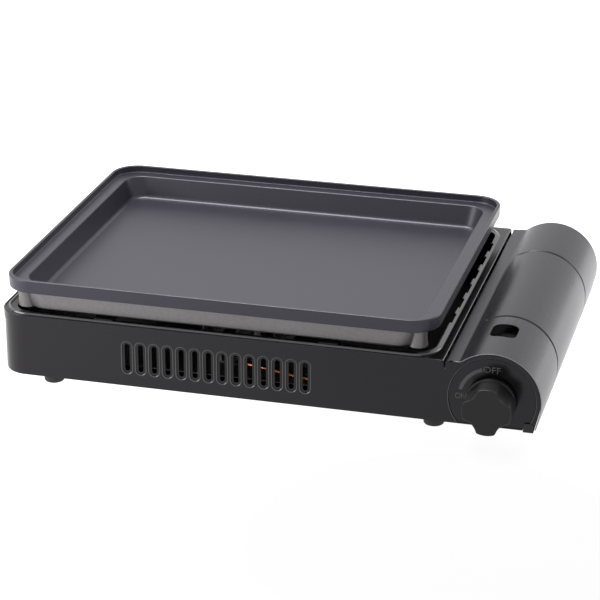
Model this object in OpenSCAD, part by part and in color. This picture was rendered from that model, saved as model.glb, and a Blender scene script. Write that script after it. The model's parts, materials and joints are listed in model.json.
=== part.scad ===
// Cassette gas hot plate. A cast griddle plate lies on the raised pads of a low
// sheet steel case. A gas cartridge goes under the arched lid on the right, and
// a turn knob at the front opens the gas and fires the igniter.

/* [Plate] */
// Width of the plate over its rim
plate_w = 400; // [340:1:460]
// Depth of the plate over its rim
plate_d = 330; // [290:1:380]
// Height of the plate from its underside to the top of the rim
plate_h = 30.4; // [27:0.2:36]
// Plan radius of the rim's corners
plate_corner_r = 26; // [24:1:34]
// Height of the rim band
rim_h = 12; // [10:0.5:14]
// Width of the flat top of the rim
rim_land = 3.5; // [2.5:0.1:5]
// Depth of the step inside the rim
rim_step = 6.5; // [4:0.5:8]
// Width of the ledge inside the rim
ledge_w = 12; // [9:0.5:14]
// Thickness of the pan floor
pan_floor = 3; // [2:0.2:4]
// How far the pan wall leans in between ledge and floor
pan_draft = 5.5; // [3:0.5:8]
// How far the lower wall stands in from the rim at the front and rear
wall_inset = 7; // [5:0.5:9]
// How far the lower wall stands in from the rim at the left and right, under the rim
side_inset = 13.5; // [10:0.5:14]
// How far the lower wall leans in below that at the left and right
side_draft = 4; // [2:0.5:5]
// Plan radius of the lower wall's corners
lower_corner_r = 22; // [18:1:24]
// Thickness of the plate's walls
plate_wall = 3; // [2.4:0.1:3.4]
// Radius of the legs at the plate's corners
leg_r = 9; // [6:0.5:10]
// From the rim's edges to the axis of a leg
leg_in = 19; // [17:0.5:20]

/* [Case] */
// Thickness of the sheet steel
sheet = 0.8; // [0.6:0.1:1.2]
// Height of the case's lower edge above the table
case_gap = 9.7; // [8:0.1:14]
// Height of the case walls
case_h = 56.7; // [54:0.1:62]
// Plan radius of the case's left corners
case_corner_r = 25; // [18:1:32]
// Width of the flange along the case's lower edge
flange_w = 17.5; // [15:0.5:20]
// Height of the hem below the case walls
hem_h = 1.3; // [0.8:0.1:2]
// How far the hem stands in from the case walls
hem_in = 0.5; // [0.3:0.1:0.8]
// Clearance of a sheet that lies inside the case walls
sheet_play = 0.3; // [0.2:0.1:0.6]

/* [Tray] */
// From the plate's rim to the tray's left edge
tray_left = 5.5; // [4:0.5:10]
// From the plate's rim to the tray's right edge
tray_right = 8; // [7:0.5:12]
// From the plate's rim to the tray's front and rear edges
tray_front = 2; // [1:0.5:4]
// How far the tray's edge stands past the case walls
tray_proud = 0.6; // [0.3:0.1:1]
// Width of the flat strip round the recess
strip_w = 8.5; // [7.5:0.1:9]
// Width of the flat strip beside the lid, with the bead on it
strip_right = 10; // [9.5:0.1:12]
// Plan radius of the recess's corners
recess_r = 20; // [14:1:26]
// Depth of the recess wall
recess_depth = 17; // [12:0.5:20]
// Width of the bead round the recess
bead_w = 3; // [2:0.1:4]
// Height of the bead
bead_h = 1.2; // [0.6:0.1:1.6]
// Width of a plate pad
pad_w = 18; // [12:1:26]
// Length of a plate pad, front to rear
pad_l = 15; // [14:0.5:20]
// Height of a pad above the tray
pad_rise = 2.2; // [1.8:0.1:4]
// From the plate's centre to a pad's centre
pad_x = 104; // [60:1:130]
// Gap between a pad and the plate
seat_gap = 0.2; // [0.1:0.05:0.4]
// Width of the sloped strip inside the recess beside the lid
slope_w = 8; // [6:0.5:9]
// Number of ventilation holes in the sloped strip
vent_count = 6; // [3:1:7]
// Spacing of the ventilation holes
vent_pitch = 36.5; // [30:0.5:40]
// Length of a ventilation hole
vent_l = 22; // [14:0.5:26]
// Width of a ventilation hole, seen from above
vent_w = 5.4; // [4:0.1:5.6]
// How far the row of ventilation holes lies behind the middle
vent_shift = 15; // [0:1:20]

/* [Slots] */
// Number of upright slots in a long wall
slot_count = 14; // [6:1:16]
// Spacing of the slots
slot_pitch = 12.7; // [11:0.1:15]
// Width of a slot
slot_w = 4.7; // [3.5:0.1:6]
// Length of a slot
slot_l = 26.3; // [18:0.1:32]
// Height of the slots' middle above the table
slot_z = 36.2; // [32:0.1:40]
// Width of the pressed border round a slot
slot_border = 2.1; // [1:0.1:2.4]
// How deep the border is pressed in
slot_press = 1.2; // [0.8:0.1:1.4]

/* [Lid] */
// Gap between the tray and the lid
seam_gap = 2.2; // [2:0.1:3]
// Outer radius of the lid's arch
arch_r = 43.5; // [42:0.5:48]
// From the lid's hinge edge to the middle of the arch
arch_run = 40.8; // [39:0.2:46]
// Height of the arch's centre above the table
arch_z = 34; // [32:0.2:37]
// Lean of the lid's outer side below the arch, in degrees
lid_taper = 13; // [8:0.5:16]
// Gap between the lid and the end walls that it closes over
lid_gap = 0.5; // [0.4:0.1:0.8]
// From the lid's hinge edge to the hinge axis
hinge_in = 3; // [3:0.1:4]
// From the lid's top face down to the hinge axis
hinge_drop = 4.7; // [4.7:0.1:5.2]
// Radius of a hinge pin
pin_r = 1.5; // [1.2:0.1:1.8]
// Running clearance of a pin or shaft, on the radius
run_play = 0.05; // [0.02:0.01:0.09]
// Radius of the lid's hinge ears
ear_r = 3.9; // [3.4:0.1:4.2]
// Thickness of a hinge ear and of its bracket
ear_t = 1.5; // [1:0.1:2]
// Gap between a hinge ear and its bracket
ear_gap = 0.4; // [0.3:0.1:0.8]
// From the front wall to the front groove, and from the rear wall to the rear groove
groove_y = [87, 80]; // [60:1:110]
// Width of a groove
groove_w = 2.6; // [1.6:0.1:3.4]
// Depth of a groove
groove_depth = 0.4; // [0.2:0.05:0.5]
// Width of the viewing window
window_w = 23.5; // [16:0.5:30]
// Length of the viewing window
window_l = 28; // [18:0.5:34]
// Corner radius of the viewing window
window_r = 7; // [3:0.5:7.5]
// From the front wall to the middle of the viewing window
window_y = 54; // [40:1:60]

/* [Cartridge] */
// Radius of the gas cartridge
can_r = 34; // [33:0.5:35]
// Gap between the cartridge and the lid
can_gap = 2.4; // [2:0.1:3.5]
// Gap between the cartridge and its cradle
cradle_gap = 1; // [0.5:0.1:1.5]
// Length of the cradle's trough
trough_l = 196; // [180:1:205]
// Radius of the seat that takes the cartridge's nozzle
seat_r = 2.6; // [2:0.1:3.5]
// Depth of the nozzle seat
seat_l = 8; // [5:0.5:12]

/* [Knob] */
// How far the knob stands out from the front wall
knob_proud = 27.5; // [24:0.5:34]
// Radius of the dial that is pressed into the front wall
dial_r = 38.2; // [36:0.2:39]
// How deep the dial is pressed in
dial_in = 1; // [0.9:0.1:1.4]
// Reach of the knob's lobes
lobe_reach = 21.6; // [20.5:0.1:21.7]
// Radius of the knob between its lobes
valley_r = 17.6; // [16:0.1:19.5]
// Radius of the knob's skirt
skirt_r = 21.9; // [21.7:0.1:24]
// Height of the knob's skirt
skirt_h = 4.5; // [3:0.5:7]
// Gap between the knob's skirt and the front wall
knob_gap = 1.6; // [1.5:0.1:2.5]
// Radius of the knob's shaft
shaft_r = 3; // [2.5:0.1:3.5]

/* [Igniter] */
// Radius of the cam where it lets the plunger rest
cam_r = 9; // [8.5:0.1:10]
// Travel of the igniter's plunger
plunger_travel = 6; // [4:0.5:6]
// Radius of the plunger
plunger_r = 2.5; // [2:0.1:3]
// Gap between the cam and the plunger
cam_gap = 0.5; // [0.4:0.1:0.8]

/* [Burner] */
// Length of the burner loop, between the middles of its ends
burner_l = 250; // [200:5:290]
// Plan radius of the burner loop's ends
burner_turn_r = 76; // [50:1:85]
// Radius of the burner's tube
burner_r = 8; // [6:0.5:9]
// Wall of the burner's tube
burner_wall = 1; // [0.8:0.1:1.5]
// Height of the burner's axis above the table
burner_z = 46; // [45:0.5:47]
// Number of flame slits in a straight of the burner
slit_count = 16; // [8:1:16]
// Radius of the mixing tube
mix_r = 7.5; // [6:0.5:8]
// Height of the heat shield above the table
shield_z = 18.5; // [17:0.5:19]
// Distance of the heat shield from the case's front and rear walls
shield_inset = 20; // [14:1:26]
// Radius of the gas pipe
pipe_r = 3; // [2.4:0.1:3.4]

/* [Feet] */
// Radius of a rubber foot
foot_r = 9.3; // [8.5:0.1:10]
// Rounding of a foot's lower edge
foot_round = 2.3; // [2:0.1:4]
// From the case's wall to the middle of a foot, front to rear
foot_y = 13.6; // [13:0.2:14]
// From the case's left wall to the middle of a left foot
foot_left = 48.5; // [30:0.5:52]
// From the tray's right edge to the middle of a right foot
foot_right = 10; // [9:0.5:30]
// Radius of the screws' shanks
screw_r = 1.5; // [1.2:0.1:2]
// Clearance of a screw in its hole, on the radius
screw_play = 0.1; // [0.05:0.05:0.2]

/* [Hidden] */
$fn = 64;
hull_fn = 32;

// Overall sizes, with the origin under the middle of the whole object
tray_w = tray_left + plate_w + tray_right;
body_d = plate_d + 2 * tray_front;
overall_w = tray_w + seam_gap + arch_run + arch_r;
overall_d = body_d - tray_proud + knob_proud;

// Places from left to right
x_left = -overall_w / 2;
x_wall = x_left + tray_proud;
x_tray = x_left + tray_w;
x_lid = x_tray + seam_gap;
arch_x = x_lid + arch_run;
plate_x = x_left + tray_left + plate_w / 2;
hinge_x = x_lid + hinge_in;
partition_x = x_tray - 3.3;
base_end = x_tray + 3;

// Places from front to rear
y_knob = -overall_d / 2;
y_wall = y_knob + knob_proud;
y_in = y_wall + sheet;
dial_face = y_wall + dial_in;
dial_back = y_in + dial_in;
y_front = y_wall - tray_proud;
y_rear = y_front + body_d;
y_back = y_rear - tray_proud;
y_back_in = y_back - sheet;
mid_y = (y_front + y_rear) / 2;

// Heights
flange_top = case_gap + sheet;
base_top = flange_top + sheet;
case_top = case_gap + case_h;
tray_top = case_top + sheet;
pad_top = tray_top + pad_rise;
plate_z = pad_top + seat_gap;
plate_top = plate_z + plate_h;
rim_z = plate_top - rim_h;
ledge_z = plate_top - rim_step;
floor_z = plate_z + pan_floor;
lid_low = case_gap + 0.3;
hinge_z = tray_top - hinge_drop;
shield_top = shield_z + sheet;
dial_z = arch_z;
can_z = arch_z + arch_r - sheet - can_gap - can_r;
trough_r = can_r + cradle_gap;
recess_low = tray_top - recess_depth;

// Recess of the tray
recess_x = [x_left + strip_w, x_tray - strip_right];
recess_y = [y_front + strip_w, y_rear - strip_w];

// Hinge ears and brackets of the lid, each measured from its own end wall
ear_in = 6;
ear_cut = hinge_x + 3.4;
wall_play = 0.4;
arch_lip = 6;

// Valve group, measured from the inside of the front wall
bracket_t = 1.2;
bracket_stand = 15;
bracket_y = y_in + bracket_stand;
bracket_tab = 5;
bracket_low = 1.2;
bracket_h = dial_z - base_top - bracket_low - bracket_tab;
bracket_w = 20;
valve_y = bracket_y + bracket_t;
valve_w = 15;
valve_l = 30;
regulator_y = valve_y + valve_l;
regulator_l = 32;
face_y = regulator_y + regulator_l;
magnet_l = 3;
trough_y = face_y + magnet_l + 8;
valve_screw_r = bracket_h + bracket_tab / 2;

// Cam and igniter, measured from the inside of the front wall
cam_y = y_in + 5;
cam_l = 5;
plunger_y = cam_y + cam_l / 2;
igniter_w = 6;
plunger_tip = arch_x - cam_r - cam_gap;
igniter_front = plunger_tip - plunger_travel - 3.2;
igniter_back = partition_x + sheet + 3.4;
plunger_end = igniter_front - 9;
spring_end = igniter_back + 2;

// Gas pipe, jet and mixing tube
pipe_y = valve_y + 6.5;
pipe_drop = 11.4;
pipe_z = max(dial_z - pipe_drop, shield_top + pipe_r + sheet_play);
boss_l = 8;
mix_z = shield_top + mix_r + 1.7;
riser_r = mix_r - 2;
jet_w = 6;
nozzle_r = 3.4;
jet_ahead = 37.6;
jet_y = mid_y - burner_turn_r - burner_r - jet_ahead;
mix_y = jet_y + 20;
pipe_bend = [95, 17];
pipe_points = [
    [arch_x - valve_w - boss_l + 3, pipe_y, pipe_z],
    [plate_x + pipe_bend[0], pipe_y, pipe_z],
    [plate_x + pipe_bend[1], jet_y, pipe_z],
    [plate_x + jet_w + 6, jet_y + jet_w, mix_z],
    [plate_x + jet_w, jet_y + jet_w, mix_z]
];

// Spark electrode in front of the burner's front straight
burner_run = burner_l - 2 * burner_turn_r;
stand_in = 15;
stand_t = 1.2;
stand_post = 11;
electrode_in = 11.5;
electrode_x = plate_x + mix_r + electrode_in;
electrode_y = mid_y - burner_turn_r - burner_r - 7;
electrode_r = 3;
electrode_z = [28, burner_z + 4];
lead_r = 1.2;
lead_points = [
    [igniter_back, plunger_y, dial_z],
    [partition_x - 15, plunger_y, dial_z],
    [plate_x + 130, y_in + 16, dial_z - 2],
    [electrode_x + 20, electrode_y - 16, electrode_z[0] - 4],
    [electrode_x, electrode_y, electrode_z[0] - 4],
    [electrode_x, electrode_y, electrode_z[0]]
];

// Width of the lid's stops, and the end of the hem beside them
stop_w = 9;
hem_end = side_x(sheet + lid_gap, case_gap) - stop_w - 1;

// Places of the feet and of the case's screws
feet = [for (x = [x_wall + foot_left, x_tray - foot_right], y = [y_wall + foot_y, y_back - foot_y]) [x, y]];
screw_in = 6.4;
screw_y = [y_wall + screw_in, y_back - screw_in];
screw_left = 60;
screw_right = 160;
screw_arch = [26, 22];
screw_x = [
    x_wall + screw_left, plate_x, plate_x + screw_right,
    arch_x - screw_arch[0], arch_x + screw_arch[1]
];
case_screw_at = [for (x = screw_x, y = screw_y) [x, y]];
screw_head_r = 2 * screw_r;
screw_head_h = 1.1;

// Rod between two points along X, Y or Z
module rod_x(x0, x1, y, z, r) {
    translate([x0, y, z]) rotate([0, 90, 0]) cylinder(h = x1 - x0, r = r);
}

module rod_y(x, y0, y1, z, r) {
    translate([x, y1, z]) rotate([90, 0, 0]) cylinder(h = y1 - y0, r = r);
}

module rod_z(x, y, z0, z1, r) {
    translate([x, y, z0]) cylinder(h = z1 - z0, r = r);
}

// Box between two corners
module block(low, high) {
    translate(low) cube(high - low);
}

// Outline in X and Z, drawn out along Y
module along_y(y0, y1) {
    translate([0, y1, 0]) rotate([90, 0, 0]) linear_extrude(y1 - y0) children();
}

// Outline in Y and Z, drawn out along X
module along_x(x0, x1) {
    translate([x0, 0, 0]) rotate([90, 0, 90]) linear_extrude(x1 - x0) children();
}

// Outline in X and Y, drawn out upwards
module along_z(z0, z1) {
    translate([0, 0, z0]) linear_extrude(z1 - z0) children();
}

// Rectangle between two corners with four round corners
module rounded(x, y, r) {
    translate([x[0] + r, y[0]]) square([x[1] - x[0] - 2 * r, y[1] - y[0]]);
    translate([x[0], y[0] + r]) square([x[1] - x[0], y[1] - y[0] - 2 * r]);
    for (cx = [x[0] + r, x[1] - r], cy = [y[0] + r, y[1] - r]) translate([cx, cy]) circle(r);
}

// Rectangle between two corners with only its left corners round
module left_rounded(x, y, r) {
    translate([x[0] + r, y[0]]) square([x[1] - x[0] - r, y[1] - y[0]]);
    translate([x[0], y[0] + r]) square([2 * r, y[1] - y[0] - 2 * r]);
    for (cy = [y[0] + r, y[1] - r]) translate([x[0] + r, cy]) circle(r);
}

// Plan of the case's inside and outside, drawn in by an inset, up to a right end
module case_plan(inset, x_end) {
    left_rounded([x_wall + inset, x_end], [y_wall + inset, y_back - inset], case_corner_r - inset);
}

// Plan of the recess in the tray, grown by a width
module recess_plan(grow) {
    rounded(
        [recess_x[0] - grow, recess_x[1] + grow],
        [recess_y[0] - grow, recess_y[1] + grow],
        recess_r + grow
    );
}

// Plan of the plate, drawn in from its rim
module plate_plan(inset) {
    rounded(
        [plate_x - plate_w / 2 + inset, plate_x + plate_w / 2 - inset],
        [mid_y - plate_d / 2 + inset, mid_y + plate_d / 2 - inset],
        plate_corner_r - inset * 0.5
    );
}

// Plan of the plate's lower wall, drawn in from the rim's sides and from its front and rear
module lower_plan(side, front, r) {
    rounded(
        [plate_x - plate_w / 2 + side, plate_x + plate_w / 2 - side],
        [mid_y - plate_d / 2 + front, mid_y + plate_d / 2 - front],
        r
    );
}

// Closed shape between two plate plans at two heights
module plate_taper(inset0, z0, inset1, z1) {
    skin = 0.01;
    hull() {
        along_z(z0, z0 + skin) plate_plan(inset0, $fn = hull_fn);
        along_z(z1 - skin, z1) plate_plan(inset1, $fn = hull_fn);
    }
}

// Where the lid's leaning side, drawn in by an inset, meets a height
function side_x(inset, z) =
    arch_x + (arch_r - inset) * cos(lid_taper)
    - (arch_z - (arch_r - inset) * sin(lid_taper) - z) * tan(lid_taper);

// Outline of the lid in X and Z, drawn in by an inset and cut off at a height
module lid_outline(inset, low) {
    r = arch_r - inset;
    intersection() {
        union() {
            translate([arch_x, arch_z]) circle(r);
            polygon([
                [arch_x, arch_z],
                [arch_x + r * cos(lid_taper), arch_z - r * sin(lid_taper)],
                [side_x(inset, low), low],
                [arch_x, low]
            ]);
            translate([x_tray, low]) square([arch_x - x_tray, tray_top - inset - low]);
        }
        translate([x_tray, low]) square([2 * (arch_x - x_tray), arch_z + arch_r]);
    }
}

// Upright slot with round ends, in X and Z
module slot_outline(x, grow) {
    half = (slot_l - slot_w) / 2;
    translate([x - slot_w / 2 - grow, slot_z - half]) square([slot_w + 2 * grow, 2 * half]);
    for (z = [slot_z - half, slot_z + half]) translate([x, z]) circle(slot_w / 2 + grow);
}

// Every slot of a long wall
module slots(grow) {
    shift = 1.6;
    for (i = [0 : slot_count - 1])
        slot_outline(plate_x + shift + (i - (slot_count - 1) / 2) * slot_pitch, grow);
}

// Direction of a path at one of its points, halfway between its two runs
function unit(v) = v / norm(v);
function path_turn(points, i) = unit(
    (i > 0 ? unit(points[i] - points[i - 1]) : [0, 0, 0])
    + (i < len(points) - 1 ? unit(points[i + 1] - points[i]) : [0, 0, 0])
);

// Round tube or wire swept along a list of points
module bent_rod(points, r, sides) {
    last = len(points) - 1;
    rings = [for (i = [0 : last]) let (
        run = path_turn(points, i),
        u = unit(cross(run, [0, 1, 0])),
        v = cross(u, run)
    ) for (k = [0 : sides - 1]) points[i] + r * (cos(360 * k / sides) * u + sin(360 * k / sides) * v)];
    skin = [for (i = [0 : last - 1], k = [0 : sides - 1]) let (
        n = (k + 1) % sides,
        a = i * sides
    ) each [[a + k, a + sides + k, a + n], [a + n, a + sides + k, a + sides + n]]];
    first_end = [for (k = [1 : sides - 2]) [0, k, k + 1]];
    last_end = [for (k = [1 : sides - 2]) [last * sides, last * sides + k + 1, last * sides + k]];
    polyhedron(rings, concat(skin, first_end, last_end));
}

// Outline of the dial above the wall's lower edge, grown by a width
module dial_plan(grow) {
    intersection() {
        translate([arch_x, dial_z]) circle(dial_r + grow);
        translate([x_tray, case_gap]) square([2 * (arch_x - x_tray), 2 * dial_r]);
    }
}

// Edge of an arched wall, right of the arch's middle, that is turned inward under the lid
module arch_edge() {
    difference() {
        intersection() {
            lid_outline(sheet + lid_gap, case_gap);
            translate([arch_x, case_gap]) square([arch_r, arch_z + arch_r]);
        }
        lid_outline(2 * sheet + lid_gap, case_gap - 1);
    }
}

// Case walls in one sheet: left wall, long walls with arched ends and a pressed dial, lower flange and hem
module lower_case() {
    color("#3a3839") difference() {
        union() {
            along_z(case_gap, case_top) difference() {
                case_plan(0, x_tray + 1);
                case_plan(sheet, x_tray + 2);
            }
            along_y(y_wall, y_in) lid_outline(sheet + lid_gap, case_gap);
            along_y(y_back_in, y_back) lid_outline(sheet + lid_gap, case_gap);
            along_y(y_wall, y_in + arch_lip) arch_edge();
            along_y(y_back_in - arch_lip, y_back) arch_edge();
            along_y(y_wall, dial_back) dial_plan(sheet);
            along_y(y_wall, y_in + slot_press) slots(slot_border + sheet);
            along_y(y_back_in - slot_press, y_back) slots(slot_border + sheet);
            along_z(case_gap - hem_h, flange_top) difference() {
                case_plan(hem_in, hem_end);
                case_plan(hem_in + sheet, hem_end + 1);
            }
            along_z(case_gap, flange_top) difference() {
                case_plan(sheet / 2, side_x(sheet + lid_gap, case_gap) - 5);
                case_plan(flange_w, overall_w);
            }
        }
        along_y(y_wall - 2, y_back + 2) slots(0);
        along_y(y_wall - 1, y_wall + slot_press) slots(slot_border);
        along_y(y_back - slot_press, y_back + 1) slots(slot_border);
        for (y = [y_wall - 1, y_back_in - 1])
            block([x_tray, y, case_top - 7.5], [x_tray + seam_gap * 0.7, y + sheet + 2, case_top + 2]);
        along_y(y_wall - 1, dial_face) dial_plan(0);
        rod_y(arch_x, y_wall - 1, dial_back + 1, dial_z, shaft_r + 0.5);
        for (side = [-1, 1])
            rod_y(arch_x, y_wall - 1, dial_back + 1, dial_z + side * valve_screw_r, screw_r + screw_play);
        for (p = concat(case_screw_at, feet))
            rod_z(p[0], p[1], case_gap - 1, flange_top + 1, screw_r + screw_play);
    }
}

// Flat floor of the case under the burner
module base_plate() {
    color("#8d8f92") difference() {
        along_z(flange_top, base_top) case_plan(sheet + sheet_play, base_end);
        for (p = concat(case_screw_at, feet))
            rod_z(p[0], p[1], flange_top - 1, base_top + 1, screw_r + screw_play);
    }
}

// Pressed top frame with its recess, bead, ventilation holes and plate pads
module top_tray() {
    skirt = 6;
    flange = 6;
    slope_t = 1.4 * sheet;
    vent_in = 1.2;
    slope_end = recess_x[1] - slope_w;
    color("#454446") {
        difference() {
            union() {
                along_z(case_top, tray_top)
                    left_rounded([x_left, x_tray], [y_front, y_rear], case_corner_r + tray_proud);
                along_z(case_top, tray_top + bead_h) recess_plan(bead_w);
                along_z(recess_low, tray_top) recess_plan(sheet);
                along_z(case_top - skirt, case_top) difference() {
                    case_plan(sheet + sheet_play, partition_x - 4);
                    case_plan(2 * sheet + sheet_play, partition_x - 3);
                }
            }
            along_z(recess_low + sheet, plate_z) recess_plan(0);
            along_z(recess_low - 1, plate_z) recess_plan(-flange);
        }
        difference() {
            along_y(recess_y[0] + recess_r, recess_y[1] - recess_r) polygon([
                [recess_x[1] + sheet / 2, tray_top],
                [recess_x[1], tray_top],
                [slope_end, tray_top - slope_w],
                [slope_end, tray_top - slope_w - slope_t],
                [recess_x[1] + sheet / 2, tray_top - slope_t + sheet / 2]
            ]);
            for (i = [0 : vent_count - 1]) {
                y = mid_y + vent_shift + (i - (vent_count - 1) / 2) * vent_pitch;
                block([recess_x[1] - vent_in - vent_w, y - vent_l / 2, recess_low],
                      [recess_x[1] - vent_in, y + vent_l / 2, tray_top + 1]);
            }
        }
        for (side = [-1, 1], x = [-pad_x, pad_x]) {
            edge = mid_y + side * (body_d / 2 - strip_w + bead_w + 0.5);
            inner = edge - side * pad_l;
            block([plate_x + x - pad_w / 2, min(edge, inner), case_top],
                  [plate_x + x + pad_w / 2, max(edge, inner), pad_top]);
        }
    }
}

// Upright sheet between the burner and the cartridge
module partition_wall() {
    foot = 12;
    color("#9b9da0") difference() {
        union() {
            block([partition_x, y_in + 1.6, base_top], [partition_x + sheet, y_back_in - 1.6, case_top]);
            block([partition_x - foot, y_in + 6, base_top],
                  [partition_x + sheet, y_back_in - 6, base_top + sheet]);
        }
        rod_x(partition_x - 1, partition_x + sheet + 1, pipe_y, pipe_z, pipe_r + 1.2);
        rod_x(partition_x - 1, partition_x + sheet + 1, plunger_y, dial_z, lead_r + 1);
        for (p = feet) rod_z(p[0], p[1], base_top - 1, base_top + 6, screw_head_r + 1);
    }
}

// Floor of the cartridge bay with the trough that the cartridge lies in
module cartridge_cradle() {
    color("#55565a") difference() {
        union() {
            block([base_end + sheet_play, dial_back + sheet_play, flange_top],
                  [side_x(sheet + lid_gap, base_top) - 1.5, y_back_in - sheet_play, base_top]);
            intersection() {
                rod_y(arch_x, trough_y, trough_y + trough_l, can_z, trough_r + sheet);
                block([arch_x - can_r, trough_y, can_z - trough_r - 2],
                      [arch_x + can_r, trough_y + trough_l, base_top]);
            }
        }
        rod_y(arch_x, trough_y + sheet, trough_y + trough_l - sheet, can_z, trough_r);
        for (p = case_screw_at) rod_z(p[0], p[1], flange_top - 1, base_top + 1, screw_r + screw_play);
    }
}

// Bright sheet under the burner, on two folded legs
module heat_shield() {
    left_gap = 30;
    right_gap = 20;
    x0 = x_wall + left_gap;
    x1 = partition_x - right_gap;
    y0 = y_in + shield_inset;
    y1 = y_back_in - shield_inset;
    color("#c9cbcd") {
        block([x0, y0, shield_z], [x1, y1, shield_top]);
        for (x = [x0, x1 - sheet]) block([x, y0 + 10, base_top], [x + sheet, y1 - 10, shield_z]);
    }
}

// Front and rear tubes of the burner loop, with flame slits along their tops
module burner_straights() {
    slit_w = 1.2;
    slit_l = 9;
    pitch = burner_run / (slit_count + 1);
    x0 = plate_x - burner_run / 2;
    x1 = plate_x + burner_run / 2;
    color("#77797c") difference() {
        for (side = [-1, 1]) rod_x(x0, x1, mid_y + side * burner_turn_r, burner_z, burner_r);
        for (side = [-1, 1])
            rod_x(x0 - 1, x1 + 1, mid_y + side * burner_turn_r, burner_z, burner_r - burner_wall);
        for (side = [-1, 1], i = [1 : slit_count]) {
            x = x0 + i * pitch;
            y = mid_y + side * burner_turn_r;
            block([x - slit_w / 2, y - slit_l / 2, burner_z + burner_r / 2],
                  [x + slit_w / 2, y + slit_l / 2, burner_z + 2 * burner_r]);
        }
        rod_z(plate_x, mid_y + burner_turn_r, burner_z - burner_r - 1, burner_z, riser_r - 1);
    }
}

// Half round end of the burner loop, on the left (-1) or on the right (1)
module burner_end(side) {
    translate([plate_x + side * burner_run / 2, mid_y, burner_z])
        rotate([0, 0, side * 90 + 180])
        rotate_extrude(angle = 180) translate([burner_turn_r, 0]) difference() {
            circle(burner_r);
            circle(burner_r - burner_wall);
        }
}

// Left end of the burner loop, which joins its straights
module burner_left_end() {
    color("#77797c") burner_end(-1);
}

// Right end of the burner loop, which joins its straights
module burner_right_end() {
    color("#77797c") burner_end(1);
}

// Short tube from the mixing tube up into the burner's rear straight
module burner_riser() {
    color("#77797c") difference() {
        rod_z(plate_x, mid_y + burner_turn_r, mix_z, burner_z, riser_r);
        rod_z(plate_x, mid_y + burner_turn_r, mix_z - 1, burner_z + 1, riser_r - 1);
        rod_y(plate_x, mix_y, mid_y + burner_turn_r + mix_r, mix_z, mix_r);
        rod_x(plate_x - 20, plate_x + 20, mid_y + burner_turn_r, burner_z, burner_r);
    }
}

// Two sheet stands that carry the burner on the heat shield
module burner_stands() {
    t = stand_t;
    post = stand_post;
    tie_h = 6;
    color("#8b8d90") for (end = [-1, 1]) let (x = plate_x + end * (burner_run / 2 - stand_in)) difference() {
        union() {
            for (side = [-1, 1]) {
                y = mid_y + side * burner_turn_r;
                block([x - t / 2, y - post, shield_top], [x + t / 2, y + post, burner_z - 3]);
            }
            block([x - t / 2, mid_y - burner_turn_r, shield_top],
                  [x + t / 2, mid_y + burner_turn_r, shield_top + tie_h]);
            block([x - t / 2, mid_y - burner_turn_r - post, shield_top],
                  [x + 8, mid_y + burner_turn_r + post, shield_top + t]);
        }
        for (side = [-1, 1]) rod_x(x - 20, x + 20, mid_y + side * burner_turn_r, burner_z, burner_r);
    }
}

// Tube that mixes gas and air, with a flared mouth and a hole under the riser
module mixing_tube() {
    wall = 1;
    flare = 12;
    end = mid_y + burner_turn_r + mix_r;
    color("#9a9c9f") difference() {
        union() {
            rod_y(plate_x, mix_y, end, mix_z, mix_r);
            translate([plate_x, mix_y, mix_z])
                rotate([-90, 0, 0]) cylinder(h = flare, r1 = mix_r + 1.3, r2 = mix_r);
        }
        rod_y(plate_x, mix_y - 1, end - wall, mix_z, mix_r - wall);
        rod_z(plate_x, mid_y + burner_turn_r, mix_z, mix_z + mix_r + 1, riser_r - 1);
    }
}

// Brass jet block with its nozzle
module gas_jet() {
    color("#b08d3c") difference() {
        union() {
            block([plate_x - jet_w, jet_y, mix_z - jet_w],
                  [plate_x + jet_w, jet_y + 2 * jet_w, mix_z + jet_w]);
            rod_y(plate_x, jet_y + jet_w, jet_y + 2 * jet_w + 5, mix_z, nozzle_r);
        }
        rod_y(plate_x, jet_y + jet_w, jet_y + 2 * jet_w + 6, mix_z, 0.5);
    }
}

// Sheet bracket that holds the jet in front of the mixing tube
module jet_bracket() {
    t = 1.2;
    half_w = 14;
    foot_l = 9;
    rise = 11;
    y = jet_y + 2 * jet_w;
    color("#8b8d90") difference() {
        union() {
            block([plate_x - half_w, y, shield_top], [plate_x + half_w, y + t, mix_z + rise]);
            block([plate_x - half_w, y - foot_l, shield_top], [plate_x + half_w, y + t, shield_top + t]);
        }
        rod_y(plate_x, y - 1, y + t + 1, mix_z, nozzle_r + 0.05);
    }
}

// Copper pipe from the valve to the jet
module gas_pipe() {
    color("#b5703f") bent_rod(pipe_points, pipe_r, 12);
}

// Sheet bracket that stands the valve and the igniter off the front wall
module valve_bracket() {
    color("#a2a4a7") difference() {
        union() {
            block([igniter_back + 1, bracket_y, dial_z - bracket_h],
                  [arch_x + bracket_w, valve_y, dial_z + bracket_h]);
            for (side = [-1, 1]) {
                z0 = dial_z + side * bracket_h;
                z1 = z0 - side * bracket_t;
                z2 = z0 + side * bracket_tab;
                block([arch_x - bracket_w, dial_back, min(z0, z1)],
                      [arch_x + bracket_w, valve_y, max(z0, z1)]);
                block([arch_x - bracket_w, dial_back, min(z1, z2)],
                      [arch_x + bracket_w, dial_back + bracket_t, max(z1, z2)]);
            }
        }
        rod_y(arch_x, bracket_y - 1, valve_y + 1, dial_z, shaft_r + 0.5);
        for (side = [-1, 1])
            rod_y(arch_x, dial_back - 1, dial_back + bracket_t + 1,
                  dial_z + side * valve_screw_r, screw_r + screw_play);
    }
}

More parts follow.
